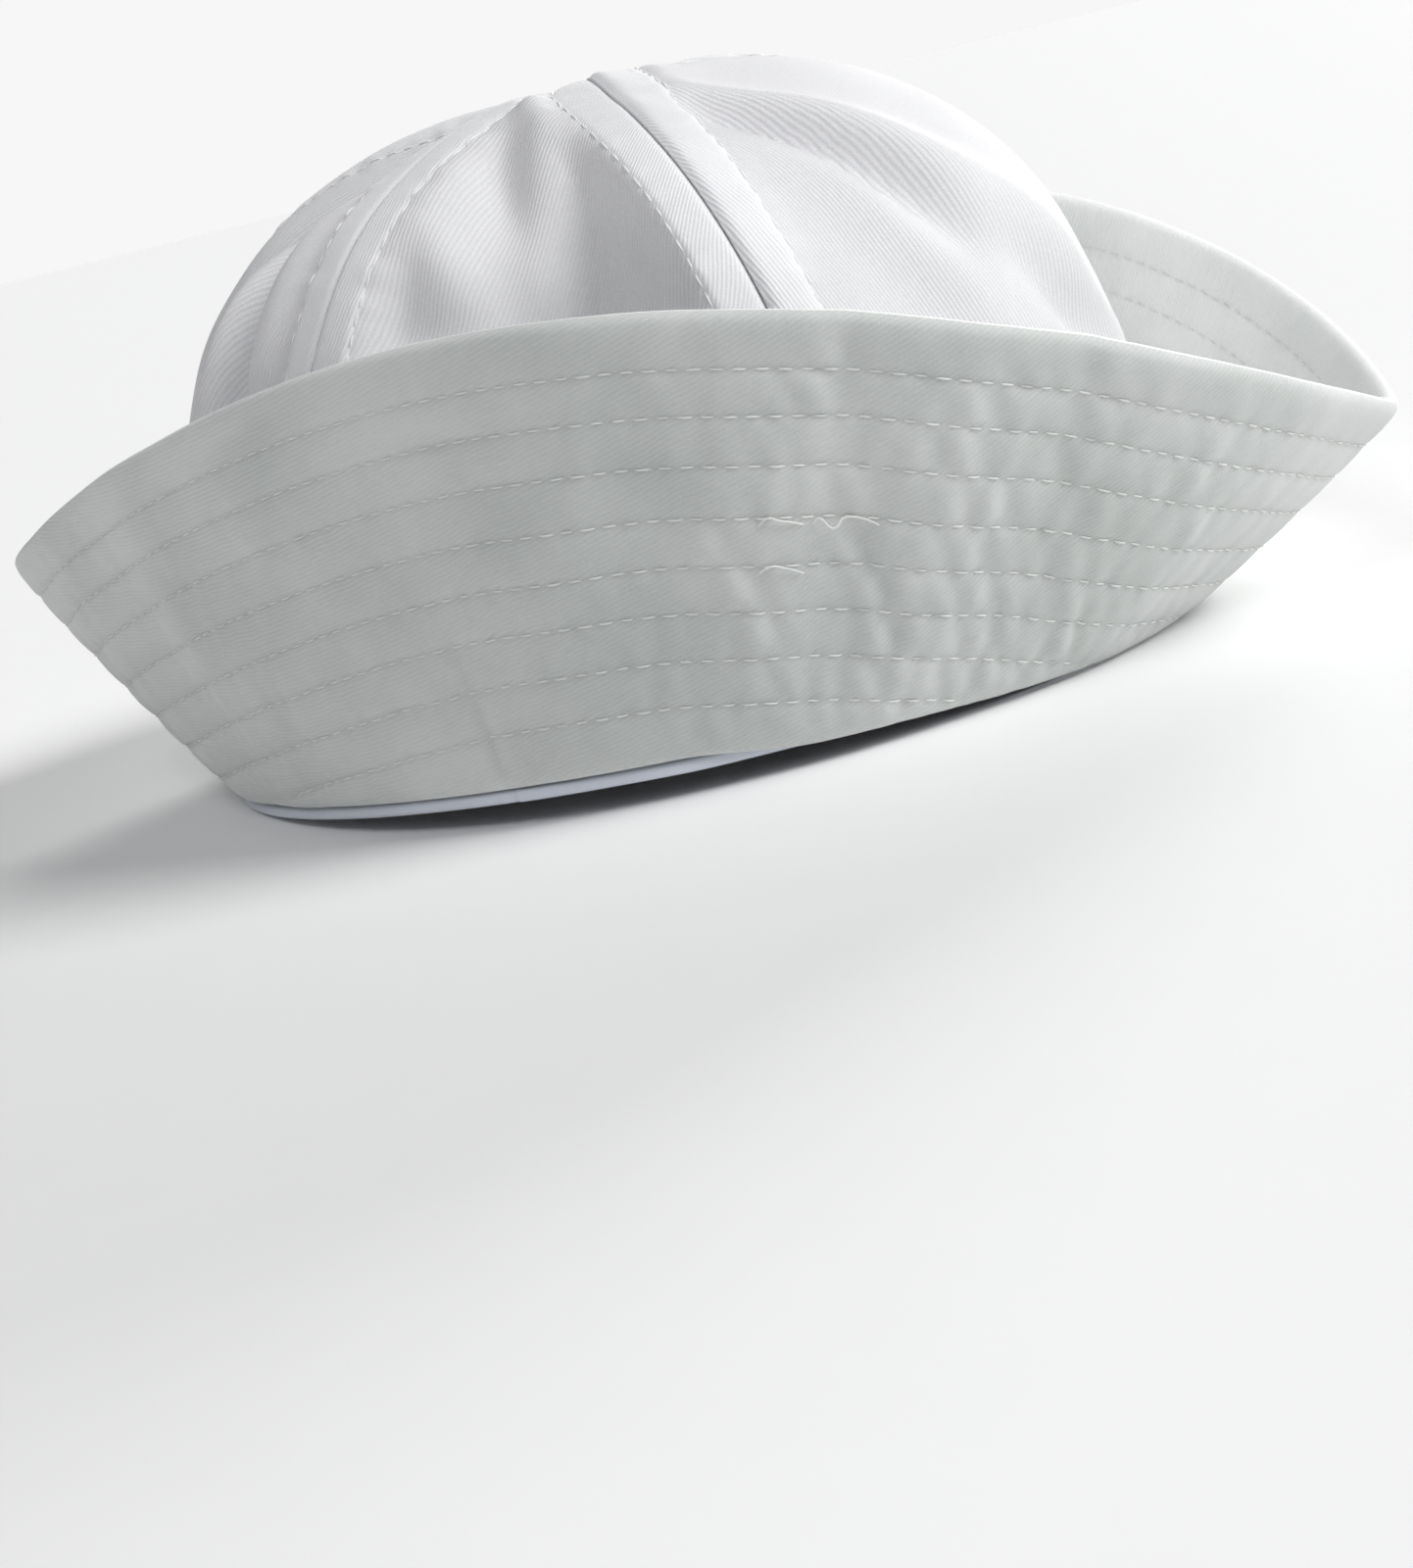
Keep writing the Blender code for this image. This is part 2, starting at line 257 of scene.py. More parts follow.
def gore_face(number, away, width, height):
    """Points of one gore, away from its first seam, with bands and puckers, and their directions."""
    seams = seam_angles(height)
    first, second = seams[number], seams[number + 1]
    slit = SEAM_SLIT / 2 / width
    share = np.clip(away / width, slit, 1 - slit)
    turn = first + (second - first) * share
    level = height + 0 * turn
    base = crown(turn, level)
    out = facing(crown, turn, level)
    climb = CROWN_CLIMB * level
    calm = smooth(width, *WIDTHS_CALM) * smooth(level, *HEIGHTS_CALM)
    reach = band_reach(width)
    relief = CLOTH_UNEVEN * uneven(base)
    sides = ((number, BAND_RISES[number] * MM, away), (number + 1.5, BAND_RISE_UNDER, width - away))
    for side, rise, far in sides:
        inside = np.clip(far / reach, 0, 1)
        relief = relief + rise * (1 - smooth(far / reach, *BAND_ENDS)) * (1.55 - 1.05 * inside)
        relief = relief - (SEAM_GROOVE + rise) * hill(far, GROOVE_WIDTH + 0.35 * rise)
        relief = relief - STITCH_GROOVE * hill(far - reach, GROOVE_WIDTH)
        pucker = ripple(climb, (6.1, side * 1.7, 0.5), (8.7, side * 2.9, 0.5), (13.0, side, 0.4))
        relief = relief + SEAM_PUCKER * pucker * hill(far - reach, PUCKER_REACH)
    relief = relief * calm
    return base + out * relief[..., None], out


def lay_cloth(name, points, pattern, border=0, lining=(0, 0)):
    """A grid of cloth with its points laid in rows, and its weave laid out flat in metres.

    Its outer columns, up to the border, and the rows of the lining take the second material.
    """
    rows, columns = points.shape[0] - 1, points.shape[1] - 1
    bpy.ops.object.select_all(action="DESELECT")
    bpy.ops.mesh.primitive_grid_add(x_subdivisions=columns, y_subdivisions=rows, size=1)
    piece = bpy.context.object
    piece.name = piece.data.name = name
    mesh = piece.data
    flat = np.empty(3 * len(mesh.vertices))
    mesh.vertices.foreach_get("co", flat)
    flat = flat.reshape(-1, 3)
    column = np.rint((flat[:, 0] + 0.5) * columns).astype(int)
    row = np.rint((flat[:, 1] + 0.5) * rows).astype(int)
    mesh.vertices.foreach_set("co", points[row, column].ravel())
    corners = np.empty(len(mesh.loops), int)
    mesh.loops.foreach_get("vertex_index", corners)
    mesh.uv_layers[0].data.foreach_set("uv", pattern[row, column][corners].ravel())
    across = column[corners].reshape(-1, 4)
    start = row[corners].reshape(-1, 4).min(axis=1)
    second = (across.max(axis=1) <= border) | (across.min(axis=1) >= columns - border)
    second = second | ((start >= lining[0]) & (start < lining[1]))
    mesh.polygons.foreach_set("material_index", second.astype(np.int32))
    bpy.ops.object.mode_set(mode="EDIT")
    bpy.ops.mesh.select_all(action="SELECT")
    bpy.ops.mesh.remove_doubles(threshold=WELD)
    bpy.ops.object.mode_set(mode="OBJECT")
    bpy.ops.object.shade_smooth()
    return piece


def give_wall(piece, thickness):
    """Gives a single layer of cloth its thickness, inwards."""
    bpy.context.view_layer.objects.active = piece
    wall = piece.modifiers.new("wall", "SOLIDIFY")
    wall.thickness = thickness
    wall.offset = -1
    bpy.ops.object.modifier_apply(modifier="wall")


class Value:
    """A socket that takes part in shader sums."""

    def __init__(self, tree, socket):
        self.tree, self.socket = tree, socket

    def sum_node(self, operation, *others):
        inputs = {0: self}
        inputs.update({place + 1: other for place, other in enumerate(others)})
        return self.tree.node("ShaderNodeMath", {"operation": operation}, inputs)

    def __add__(self, other):
        return self.sum_node("ADD", other)

    def __sub__(self, other):
        return self.sum_node("SUBTRACT", other)

    def __rsub__(self, other):
        return (self * -1) + other

    def __mul__(self, other):
        return self.sum_node("MULTIPLY", other)

    def sin(self):
        return self.sum_node("SINE")

    def clipped(self):
        return self.sum_node("MAXIMUM", 0.0).sum_node("MINIMUM", 1.0)

    __radd__ = __add__
    __rmul__ = __mul__


class Finish:
    """A material, its shader and the one way that nodes are added to it."""

    def __init__(self, name, colour, roughness, sheen):
        self.material = bpy.data.materials.new(name)
        self.material.use_nodes = True
        self.nodes = self.material.node_tree.nodes
        self.links = self.material.node_tree.links
        self.shader = self.nodes["Principled BSDF"]
        self.shader.inputs["Base Color"].default_value = (*colour, 1)
        self.shader.inputs["Roughness"].default_value = roughness
        self.shader.inputs["Sheen Weight"].default_value = sheen
        self.shader.inputs["Sheen Roughness"].default_value = 0.5
        self.shader.inputs["Specular IOR Level"].default_value = 0.25
        self.place = self.node("ShaderNodeTexCoord", {}, {}, "Object")

    def feed(self, socket, value):
        if isinstance(value, Value):
            self.links.new(value.socket, socket)
        else:
            socket.default_value = value

    def node(self, kind, settings, inputs, output=0):
        new = self.nodes.new(kind)
        for key, value in settings.items():
            setattr(new, key, value)
        for key, value in inputs.items():
            self.feed(new.inputs[key], value)
        return Value(self, new.outputs[output])

    def noise(self, scale, detail=3.0):
        inputs = {"Vector": self.place, "Scale": scale, "Detail": detail}
        return self.node("ShaderNodeTexNoise", {}, inputs)

    def split(self, vector):
        """The first two parts of a vector."""
        first = self.node("ShaderNodeSeparateXYZ", {}, {0: vector})
        return first, Value(self, first.socket.node.outputs[1])

    def blend_colours(self, factor, one, two):
        return self.node(
            "ShaderNodeMix", {"data_type": "RGBA"}, {0: factor, 6: (*one, 1), 7: (*two, 1)}, 2)

    def paint(self, colour, roughness, height, depth):
        """Lays colour, roughness and relief on the shader."""
        bump = self.node(
            "ShaderNodeBump", {}, {"Strength": 1.0, "Distance": depth, "Height": height})
        self.feed(self.shader.inputs["Base Color"], colour)
        self.feed(self.shader.inputs["Roughness"], roughness)
        self.feed(self.shader.inputs["Normal"], bump)


TWILL_PITCH = 0.84 * MM  # from one diagonal rib to the next
YARN_PITCH = 0.46 * MM
YARN_SLANT = 1.5  # the breaks in the ribs move on by this much of a yarn from rib to rib
SLUB_SWING = 2.4  # uneven yarns bend the ribs
LIGHT_REACH = 4.0 * MM  # light passes this far through the cloth
TWILL_DEPTH = 0.11 * MM


def twill(name, light, shade, degrees, hollow_shade=0.58, glow=0.0, patches=0.7):
    """Cotton twill: ribs at an angle on the flat cloth, broken into yarns, with slight slubs, and painted
    shade in the hollows between the ribs.
    """
    cloth = Finish(name, light, roughness=0.88, sheen=0.25)
    cloth.shader.inputs["Subsurface Weight"].default_value = glow
    cloth.shader.inputs["Subsurface Radius"].default_value = (1, 1, 1)
    cloth.shader.inputs["Subsurface Scale"].default_value = LIGHT_REACH
    flat = cloth.node("ShaderNodeTexCoord", {}, {}, "UV")
    turned = cloth.node(
        "ShaderNodeMapping", {}, {"Vector": flat, "Rotation": (0, 0, math.radians(-degrees))})
    across, along = cloth.split(turned)
    slub = cloth.noise(scale=260.0, detail=2.0)
    fibre = cloth.noise(scale=2600.0)
    cloud = cloth.noise(scale=28.0)
    swing = slub * SLUB_SWING
    rib = (across * (FULL_TURN / TWILL_PITCH) + swing).sin() * 0.5 + 0.5
    slant = across * (FULL_TURN / TWILL_PITCH * YARN_SLANT)
    yarn = (along * (FULL_TURN / YARN_PITCH) + slant + swing).sin() * 0.5 + 0.5
    worn = (cloud * 1.5 - 0.1).clipped()
    height = rib * (0.55 + yarn * 0.45) * (0.45 + worn * 0.55) + (fibre - 0.5) * 0.5
    hollow = (1 - height).clipped()
    # the hollows between the ribs are painted darker: painted shade, while the cloud and fibre tones differ
    # at random
    tone = (hollow * hollow_shade + (cloud - 0.5) * patches + (fibre - 0.5) * 1.0).clipped()
    colour = cloth.blend_colours(tone, light, shade)
    cloth.paint(colour, 0.80 + hollow * 0.15, height, TWILL_DEPTH)
    return cloth.material


GORE_ROWS = 150
GORE_TOP = 0.9985  # the cloth ends just short of the middle of the top
# columns lie closest where the bands are turned and stitched: shares of a band, out from its seam
EDGE_STOPS = np.array([
    0, 0.04, 0.08, 0.13, 0.2, 0.3, 0.42, 0.55, 0.68, 0.78, 0.86, 0.91, 0.95, 0.98, 1.01, 1.05, 1.1, 1.18,
    1.3,
])
DOUBLED_COLUMNS = 14  # so many of those columns are doubled cloth
GORE_MIDDLE = 44
MIDDLE_STOPS = np.linspace(0, 1, GORE_MIDDLE + 1)[1:-1]
GORE_GRAIN = (4.0, 2.0, -3.0, -14.0, -27.0, 5.0)  # degrees that the ribs lean off a gore's middle
CROWN_TWILL = (
    # name, light and shade: the bands are double, so less shows through and they are whiter, and they are
    # painted lighter still, as painted light
    ("crown_twill", (0.885, 0.885, 0.895), (0.62, 0.62, 0.65)),
    ("crown_twill_double_painted_light", (0.97, 0.97, 0.98), (0.76, 0.77, 0.80)),
)

gore_heights = np.minimum(np.linspace(0, 1, GORE_ROWS + 1), GORE_TOP)[:, None]
for number in range(len(GORE_SEAMS)):
    width = gore_width(number, gore_heights)
    near = band_reach(width) * EDGE_STOPS
    far = width - near[:, ::-1]
    between = near[:, -1:] + (far[:, :1] - near[:, -1:]) * MIDDLE_STOPS
    away = np.concatenate([near, between, far], axis=1)
    points, _ = gore_face(number, away, width, gore_heights)
    middle = crown(sum(seam_angles(gore_heights)[number:number + 2]) / 2, gore_heights)[:, 0]
    climbed = travelled(middle)[:, None]
    pattern = np.stack([away - width / 2, climbed + 0 * away], -1)
    gore = lay_cloth("twill_gore_%d" % (number + 1), points, pattern, border=DOUBLED_COLUMNS)
    # the doubled bands take the second, lighter cloth, which carries painted light
    for name, light, shade in CROWN_TWILL:
        gore.data.materials.append(twill("%s_%d" % (name, number + 1), light, shade, GORE_GRAIN[number]))
    give_wall(gore, CROWN_WALL)
    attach(gore, "root")
    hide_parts("crown_gore_%d" % (number + 1))

# ------------------------
# Topstitching of the crown. White cotton thread in even lockstitches, one row
# on each side of every seam, through the gore and its turned allowance.
# ------------------------
STITCH_STEP = 3.9 * MM
STITCH_LENGTH = 3.0 * MM
STITCH_SLIM = 0.55  # share of its thickness that a stitch loses at its ends
STITCH_STAND = 0.42  # in thicknesses of thread: how high its middle stands
STITCH_DIVE = 0.95  # and how far its ends go down from there
THREAD = 0.42 * MM
FINE = 0.80  # the crown's thread is finer
THREAD_LIGHT = (0.95, 0.95, 0.94)
THREAD_SHADE = (0.82, 0.82, 0.81)
ROWS_BEGIN, ROWS_END = 0.03, 0.965  # shares of the crown's height
ROW_POINTS = 500


def model_stitch():
    """One stitch: a short bar of thread, round, that dives into the cloth at both ends."""
    bpy.ops.object.select_all(action="DESELECT")
    bpy.ops.mesh.primitive_cylinder_add(
        vertices=6, radius=THREAD / 2, depth=STITCH_LENGTH, rotation=(0, math.pi / 2, 0))
    bar = bpy.context.object
    bpy.ops.object.transform_apply(rotation=True)
    bpy.ops.object.mode_set(mode="EDIT")
    bpy.ops.mesh.select_mode(type="EDGE")
    bpy.ops.mesh.select_all(action="DESELECT")
    bpy.ops.object.mode_set(mode="OBJECT")
    for edge in bar.data.edges:
        one, two = (bar.data.vertices[number].co for number in edge.vertices)
        edge.select = abs(one.x - two.x) > STITCH_LENGTH / 2
    bpy.ops.object.mode_set(mode="EDIT")
    bpy.ops.mesh.subdivide(number_cuts=3)
    bpy.ops.object.mode_set(mode="OBJECT")
    for vertex in bar.data.vertices:
        share = abs(vertex.co.x) / (STITCH_LENGTH / 2)
        slim = 1 - STITCH_SLIM * share ** 4
        vertex.co.y *= slim
        vertex.co.z = vertex.co.z * slim + THREAD * (STITCH_STAND - STITCH_DIVE * share ** 3)
    shape = np.array([vertex.co[:] for vertex in bar.data.vertices])
    faces = [tuple(face.vertices) for face in bar.data.polygons]
    bpy.data.objects.remove(bar, do_unlink=True)
    return shape, faces


stitch_shape, stitch_faces = model_stitch()


def run_of_stitches(line, out):
    """Centres and directions of the stitches along a line on the cloth."""
    far = travelled(line)
    count = int(far[-1] / STITCH_STEP)
    at = (np.arange(count) + 0.5) * STITCH_STEP
    ends = [np.stack([np.interp(at + half, far, line[:, axis]) for axis in range(3)], -1)
            for half in (-STITCH_LENGTH / 2, 0, STITCH_LENGTH / 2)]
    up = unit(np.stack([np.interp(at, far, out[:, axis]) for axis in range(3)], -1))
    ahead = unit(ends[2] - ends[0])
    side = unit(np.cross(up, ahead))
    return ends[1], ahead, side, np.cross(ahead, side)


def sew(name, runs, gauge=1.0):
    """Lays a copy of the one stitch at every place of the runs."""
    centre, ahead, side, up = (np.concatenate(parts) for parts in zip(*runs))
    points = (centre[:, None] + ahead[:, None] * stitch_shape[None, :, :1]
              + side[:, None] * stitch_shape[None, :, 1:2] * gauge
              + up[:, None] * stitch_shape[None, :, 2:] * gauge)
    count = len(stitch_shape)
    faces = [tuple(corner + number * count for corner in face)
             for number in range(len(centre)) for face in stitch_faces]
    mesh = bpy.data.meshes.new(name)
    mesh.from_pydata(points.reshape(-1, 3), [], faces)
    mesh.shade_smooth()
    piece = bpy.data.objects.new(name, mesh)
    bpy.context.scene.collection.objects.link(piece)
    return piece


def thread_finish(name, light, shade):
    """Spun cotton thread, a little brighter and smoother than the cloth."""
    cotton = Finish(name, light, roughness=0.7, sheen=0.2)
    twist = cotton.noise(scale=3200.0, detail=2.0)
    colour = cotton.blend_colours(twist, light, shade)
    cotton.paint(colour, 0.6 + twist * 0.2, twist, 0.08 * MM)
    return cotton.material


thread_material = thread_finish("sewing_thread", THREAD_LIGHT, THREAD_SHADE)
row_heights = np.linspace(ROWS_BEGIN, ROWS_END, ROW_POINTS)[:, None]
outer_runs, inner_runs = [], []
for number in range(len(GORE_SEAMS)):
    width = gore_width(number, row_heights)
    reach = band_reach(width)
    for away in (reach, width - reach):
        line, out = gore_face(number, away, width, row_heights)
        outer_runs.append(run_of_stitches(line[:, 0], out[:, 0]))
        inner_runs.append(run_of_stitches(line[:, 0] - out[:, 0] * CROWN_WALL, -out[:, 0]))
for name, runs in (("crown_topstitching", outer_runs), ("crown_topstitching_inside", inner_runs)):
    stitches = sew(name, runs, FINE)
    stitches.data.materials.append(thread_material)
    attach(stitches, "root")

# ------------------------
# Brim. One strip of the same twill, doubled, quilted with eight rows of
# stitches and turned up all round, with a turned hem along the rim.
# ------------------------
TIP_FRONT = 151.5 * MM
TIP_BACK = 151.5 * MM
RIM_HALF_WIDTH = 97.0 * MM
RIM_FULLNESS = 1.28
RIM_FORWARD = 0.245
RIM_HEIGHT_SIDE = 92.0 * MM
RIM_HEIGHT_FRONT = 31.7 * MM
RIM_HEIGHT_BACK = 56.0 * MM
RIM_RISE_FRONT = 0.85
RIM_RISE_BACK = 1.00
HEM_EXTRA = 0.9 * MM
HEM_DEPTH = 10.0 * MM
BRIM_BOW = 1.5 * MM
FOLD_HIGH = 2.8 * MM
FOLD_LOW = 0.4 * MM
LIP_RUNS_OUT = (0.20, 0.45)  # cosines between which the inner band's lip runs out at the front
QUILT_ROWS = (9.8, 18.2, 27.2, 36.8, 45.9, 54.9, 64.2, 73.4)  # mm from the rim
ROWS = len(QUILT_ROWS)
FIRST_ROW = QUILT_ROWS[0] * MM
JOIN = 263.0  # degrees, where the strip is joined
RIM_SEARCH = np.radians(np.arange(-42, 43, 1.5))  # the nearest part of the rim is looked for here
RIM_POINTS, LENGTH_POINTS = 4001, 2001  # at which the rim is measured
NEAR_SIDE = 0.22  # columns lie this much closer on the camera's side
BELOW_ROWS = 9.0  # mm from the last row to where one more would be
WAVIEST_FRONT, FRONT_SPREAD = 309.0, 0.42  # where the cloth waves most: degrees and radians
WAVIEST_BACK, BACK_SPREAD = 222.0, 0.30
WAVE, WAVE_FRONT, WAVE_BACK = 0.12, 0.62, 0.20  # mm, everywhere and more at those places
SLOW_WAVE, SLOW_WAVE_BACK = 0.34, 0.50
FULLEST_BACK, FULL_SPREAD = 225.0, 0.42  # where it puffs most
PUFF, PUFF_BACK = 0.30, 0.45  # mm
ROW_SINK, SINK_WIDTH = 0.13, 0.6 * MM  # mm that the cloth sinks at a row of stitches
ROW_PUCKER, ROW_PUCKER_REACH = 0.20, 2.6 * MM
JOIN_DIP, JOIN_WIDTH = 0.7, 2.2 * MM  # mm that it sinks beside the strip's join,
JOIN_SHOWS = (46 * MM, 60 * MM)  # which shows from about here down
ROW_SLIP = 3.4  # mm that the waves shift from row to row
HEM_WAVE = 0.45  # the hem waves this much of what the cloth below it does
INSIDE_PUFF = 0.35  # and the inner ply puffs this much of what the outer does
BRIM_CRUMPLES = (
    # degrees, half width mm, depth mm
    (262.0, 9.0, -0.8), (291.0, 8.0, 1.1), (299.0, 6.0, -1.2), (308.0, 8.0, 1.0), (317.0, 7.0, -1.1),
    (330.0, 8.0, 0.8), (228.0, 12.0, -1.4), (241.0, 9.0, 0.9), (217.0, 8.0, 1.0), (40.0, 12.0, 0.9),
    (75.0, 14.0, -1.1), (112.0, 12.0, 1.0), (150.0, 12.0, -0.9),
)
BRIM_DENTS = (
    # degrees, mm from the rim, half length mm, half width mm, turn degrees, depth mm (in is minus)
    (268.0, 17.5, 9.0, 2.6, -8.0, -1.1), (271.5, 22.5, 9.0, 2.8, -8.0, 1.0),
    (248.0, 22.0, 9.0, 5.0, 70.0, 1.1), (252.0, 6.2, 11.0, 2.2, 10.0, -0.9),
    (236.0, 30.0, 12.0, 5.0, 60.0, -1.1), (214.0, 20.0, 12.0, 4.0, 80.0, 1.3),
    (203.0, 26.0, 14.0, 4.0, 84.0, -1.1), (275.0, 42.0, 16.0, 12.0, 20.0, 1.3),
    (256.0, 60.0, 12.0, 4.5, 80.0, -1.0), (244.0, 56.0, 10.0, 5.0, 100.0, 1.0),
)


def band_shows(turn):
    """1 where the band's lip shows under the fold, 0 round the front."""
    return 1 - smooth(np.cos(turn), *LIP_RUNS_OUT)


def rim(turn):
    """The rim line of the turned-up brim."""
    cosine = np.cos(turn)
    aside = np.sin(turn) ** 2
    ahead = (1 + cosine) / 2
    x = np.where(cosine > 0, TIP_FRONT, TIP_BACK) * cosine
    y = RIM_HALF_WIDTH * np.sign(np.sin(turn)) * aside ** (RIM_FULLNESS / 2) * (1 + RIM_FORWARD * cosine)
    tip = RIM_HEIGHT_FRONT * ahead + RIM_HEIGHT_BACK * (1 - ahead)
    rise = RIM_RISE_FRONT * ahead + RIM_RISE_BACK * (1 - ahead)
    z = tip + (RIM_HEIGHT_SIDE - tip) * aside ** rise
    return np.stack([x, y, z], -1)


def brim(turn, share):
    """Outer face of the brim: the share runs from 0 at the fold to 1 at the rim."""
    x, y = oval(turn, 0)
    fold = FOLD_LOW + (FOLD_HIGH - FOLD_LOW) * band_shows(turn)
    low = np.stack([x, y, lift(turn) + fold], -1)
    high = rim(turn)
    out = unit(np.stack([np.cos(turn) / OPENING_FRONT, np.sin(turn) * 2 / OPENING_WIDTH, 0 * turn], -1))
    stand = BRIM_BOW * 4 * share * (1 - share)
    around = np.hypot(x, y)
    for degrees, width, depth in BRIM_CRUMPLES:
        crumple = hill(turn_between(turn, degrees) * around, width * MM)
        stand = stand + depth * MM * crumple * np.sin(math.pi * np.clip(share, 0, 1)) ** 0.7
    return low + (high - low) * share[..., None] + out * stand[..., None]


def brim_columns(count):
    """Angles round the brim, evenly spaced along the rim and closer on the camera's side."""
    fine = math.radians(JOIN) - math.pi + np.linspace(0, FULL_TURN, RIM_POINTS)
    steps = np.linalg.norm(np.diff(rim(fine), axis=0), axis=1) * (1 - NEAR_SIDE * np.sin(fine[1:]))
    far = np.concatenate([[0], np.cumsum(steps)])
    return np.interp(np.linspace(0, far[-1], count + 1), far, fine)


def rim_distance(turn, share):
    """Distance from the rim of every point of the brim's columns, never less further down."""
    points = brim(turn + 0 * share, share + 0 * turn)
    near = np.full(points.shape[:2], 1.0)
    for shift in RIM_SEARCH:
        near = np.minimum(near, np.linalg.norm(points - rim(turn + shift), axis=-1))
    return np.maximum.accumulate(near[::-1], axis=0)[::-1]


def along_rim(turn):
    """Length along the rim from the join, by the shorter way."""
    fine = np.radians(np.linspace(JOIN - 180, JOIN + 180, LENGTH_POINTS))
    far = travelled(rim(fine))
    far = far - np.interp(math.radians(JOIN), fine, far)
    return np.interp(math.radians(JOIN) + turn_between(turn, JOIN), fine, far)


def row_count(down):
    """Rows of stitches between the rim and a distance down from it, with the part of the next."""
    stops = np.array([0, *QUILT_ROWS, QUILT_ROWS[-1] + BELOW_ROWS]) * MM
    return np.interp(down, stops, np.arange(len(stops)) - 1)


def brim_bend(turn, down, along):
    """How both plies of the brim wave between the rows of stitches, and its dents."""
    front = hill(turn_between(turn, WAVIEST_FRONT), FRONT_SPREAD)
    back = hill(turn_between(turn, WAVIEST_BACK), BACK_SPREAD)
    row = np.floor(row_count(down))
    between = np.sin(math.pi * (row_count(down) - row)) ** 0.8
    slip = ROW_SLIP * np.sin(row * 2.4) * MM
    wave = ripple(along - 0.25 * down + slip, (9.3, 0.6, 0.6), (14.2, 2.0, 0.6), (22.0, 4.0, 0.4))
    change = ripple(along + 0.5 * down + 3 * slip, (31.0, 1.0, 0.6), (47.0, 2.2, 0.6))
    wave = wave * (0.62 + 0.38 * change)
    slow = ripple(along + 0.2 * down, (38.0, 1.0, 0.6), (61.0, 3.0, 0.6))
    quiet = HEM_WAVE + (1 - HEM_WAVE) * smooth(down, 2 * MM, FIRST_ROW)
    bend = (WAVE + WAVE_FRONT * front + WAVE_BACK * back) * wave * between * quiet
    bend = bend + (SLOW_WAVE + SLOW_WAVE_BACK * back) * slow
    for degrees, depth_down, length, width, turned, depth in BRIM_DENTS:
        right, below = along - along_rim(math.radians(degrees)), down - depth_down * MM
        turned = math.radians(turned)
        far = (right * math.cos(turned) - below * math.sin(turned)) / (length * MM)
        aside = (below * math.cos(turned) + right * math.sin(turned)) / (width * MM)
        bend = bend + depth * np.exp(-far ** 2 - aside ** 2)
    join = hill(along - 1.5 * MM, JOIN_WIDTH) * smooth(down, *JOIN_SHOWS)
    return (bend - JOIN_DIP * join) * MM


def brim_quilt(turn, down, along, depth):
    """How one ply puffs between the rows and sinks at them."""
    back = hill(turn_between(turn, FULLEST_BACK), FULL_SPREAD)
    share = row_count(down)
    puff = np.abs(np.sin(math.pi * share)) ** 0.8
    hem = np.sin(math.pi * np.clip(down / FIRST_ROW, 0, 1)) ** 0.5
    last = smooth(share, ROWS - 1, ROWS - 0.3)
    puff = np.where(down < FIRST_ROW, hem * 1.2, puff * (1 - last) + last * 0.8)
    relief = (PUFF + PUFF_BACK * back) * puff
    for row in range(ROWS):
        off = down - QUILT_ROWS[row] * MM
        relief = relief - ROW_SINK * hill(off, SINK_WIDTH)
        pucker = ripple(along, (6.4, row * 2.1, 0.5), (9.1, row * 1.3, 0.5), (14.0, row * 0.7, 0.3))
        relief = relief + ROW_PUCKER * pucker * hill(off, ROW_PUCKER_REACH)
    return relief * depth * MM


def brim_ply(turn, share, down, inside):
    """Points and directions on one face of the brim."""
    along = along_rim(turn)
    base = brim(turn + 0 * share, share + 0 * turn)
    out = facing(brim, turn + 0 * share, share + 0 * turn)
    bend = brim_bend(turn, down, along) * smooth(share, 0.0, 0.08)
    edge = smooth(down, 0.5 * MM, 3 * MM) * smooth(share, 0.0, 0.05)
    if inside:
        wall = BRIM_WALL + HEM_EXTRA * (1 - smooth(down, HEM_DEPTH * 0.95, HEM_DEPTH * 1.15))
        shift = bend - wall - brim_quilt(turn, down, along + 3 * MM, INSIDE_PUFF) * edge
        return base + out * shift[..., None], -out
    shift = bend + brim_quilt(turn, down, along, 1.0) * edge
    return base + out * shift[..., None], out


def rows_by_distance(field, shares, wanted):
    """For each column, the share at which the brim lies the wanted distance from the rim."""
    return np.stack([np.interp(wanted, field[::-1, column], shares[::-1])
                     for column in range(field.shape[1])], 1)


BRIM_COLUMNS = 470
FIELD_ROWS = 161
FOLLOWED_ROWS = 5  # so many rows of stitches have rows of points close to them
HEM_STOPS = (2.8, 4.2, 5.8, 7.2, 8.2)  # mm from the rim
ROW_STOPS = (-1.1, -0.6, -0.28, 0, 0.28, 0.6, 1.1, 2.3, 4.5, 6.7)  # mm from a row of stitches
INSIDE_HEM_STOPS = (3.2, 5.4, 7.4)
INSIDE_ROW_STOPS = (-0.8, 0, 0.8, 3.0, 6.0)
LAST_STOPS, INSIDE_LAST_STOPS = 8, 3  # so many of them at the last row that is followed
LOWER_ROWS, INSIDE_LOWER_ROWS = 52, 36
RIM_STEPS, FOLD_STEPS = 7, 6  # of the round edges
CONE_RADIUS = 232.0 * MM  # the strip is cut on a curve: it lies flat as part of a ring
STRIP_HALF = 179.999  # degrees from the join to either end of the strip
BRIM_GRAIN = -79.0  # degrees that the ribs lean off the strip's own length
BRIM_PAINTED_PLIES = (
    # name, light and shade: the same white twill twice, the outer ply's painted darker as painted shade, the
    # inner ply's painted lighter as painted light
    ("brim_twill", (0.655, 0.67, 0.66), (0.51, 0.535, 0.52)),
    ("brim_twill_inside", (0.92, 0.93, 0.915), (0.76, 0.78, 0.765)),
)

angles = brim_columns(BRIM_COLUMNS)
field_shares = np.linspace(0, 1, FIELD_ROWS)
field = rim_distance(angles[None, :], field_shares[:, None])
hem_round = (BRIM_WALL + HEM_EXTRA) / 2


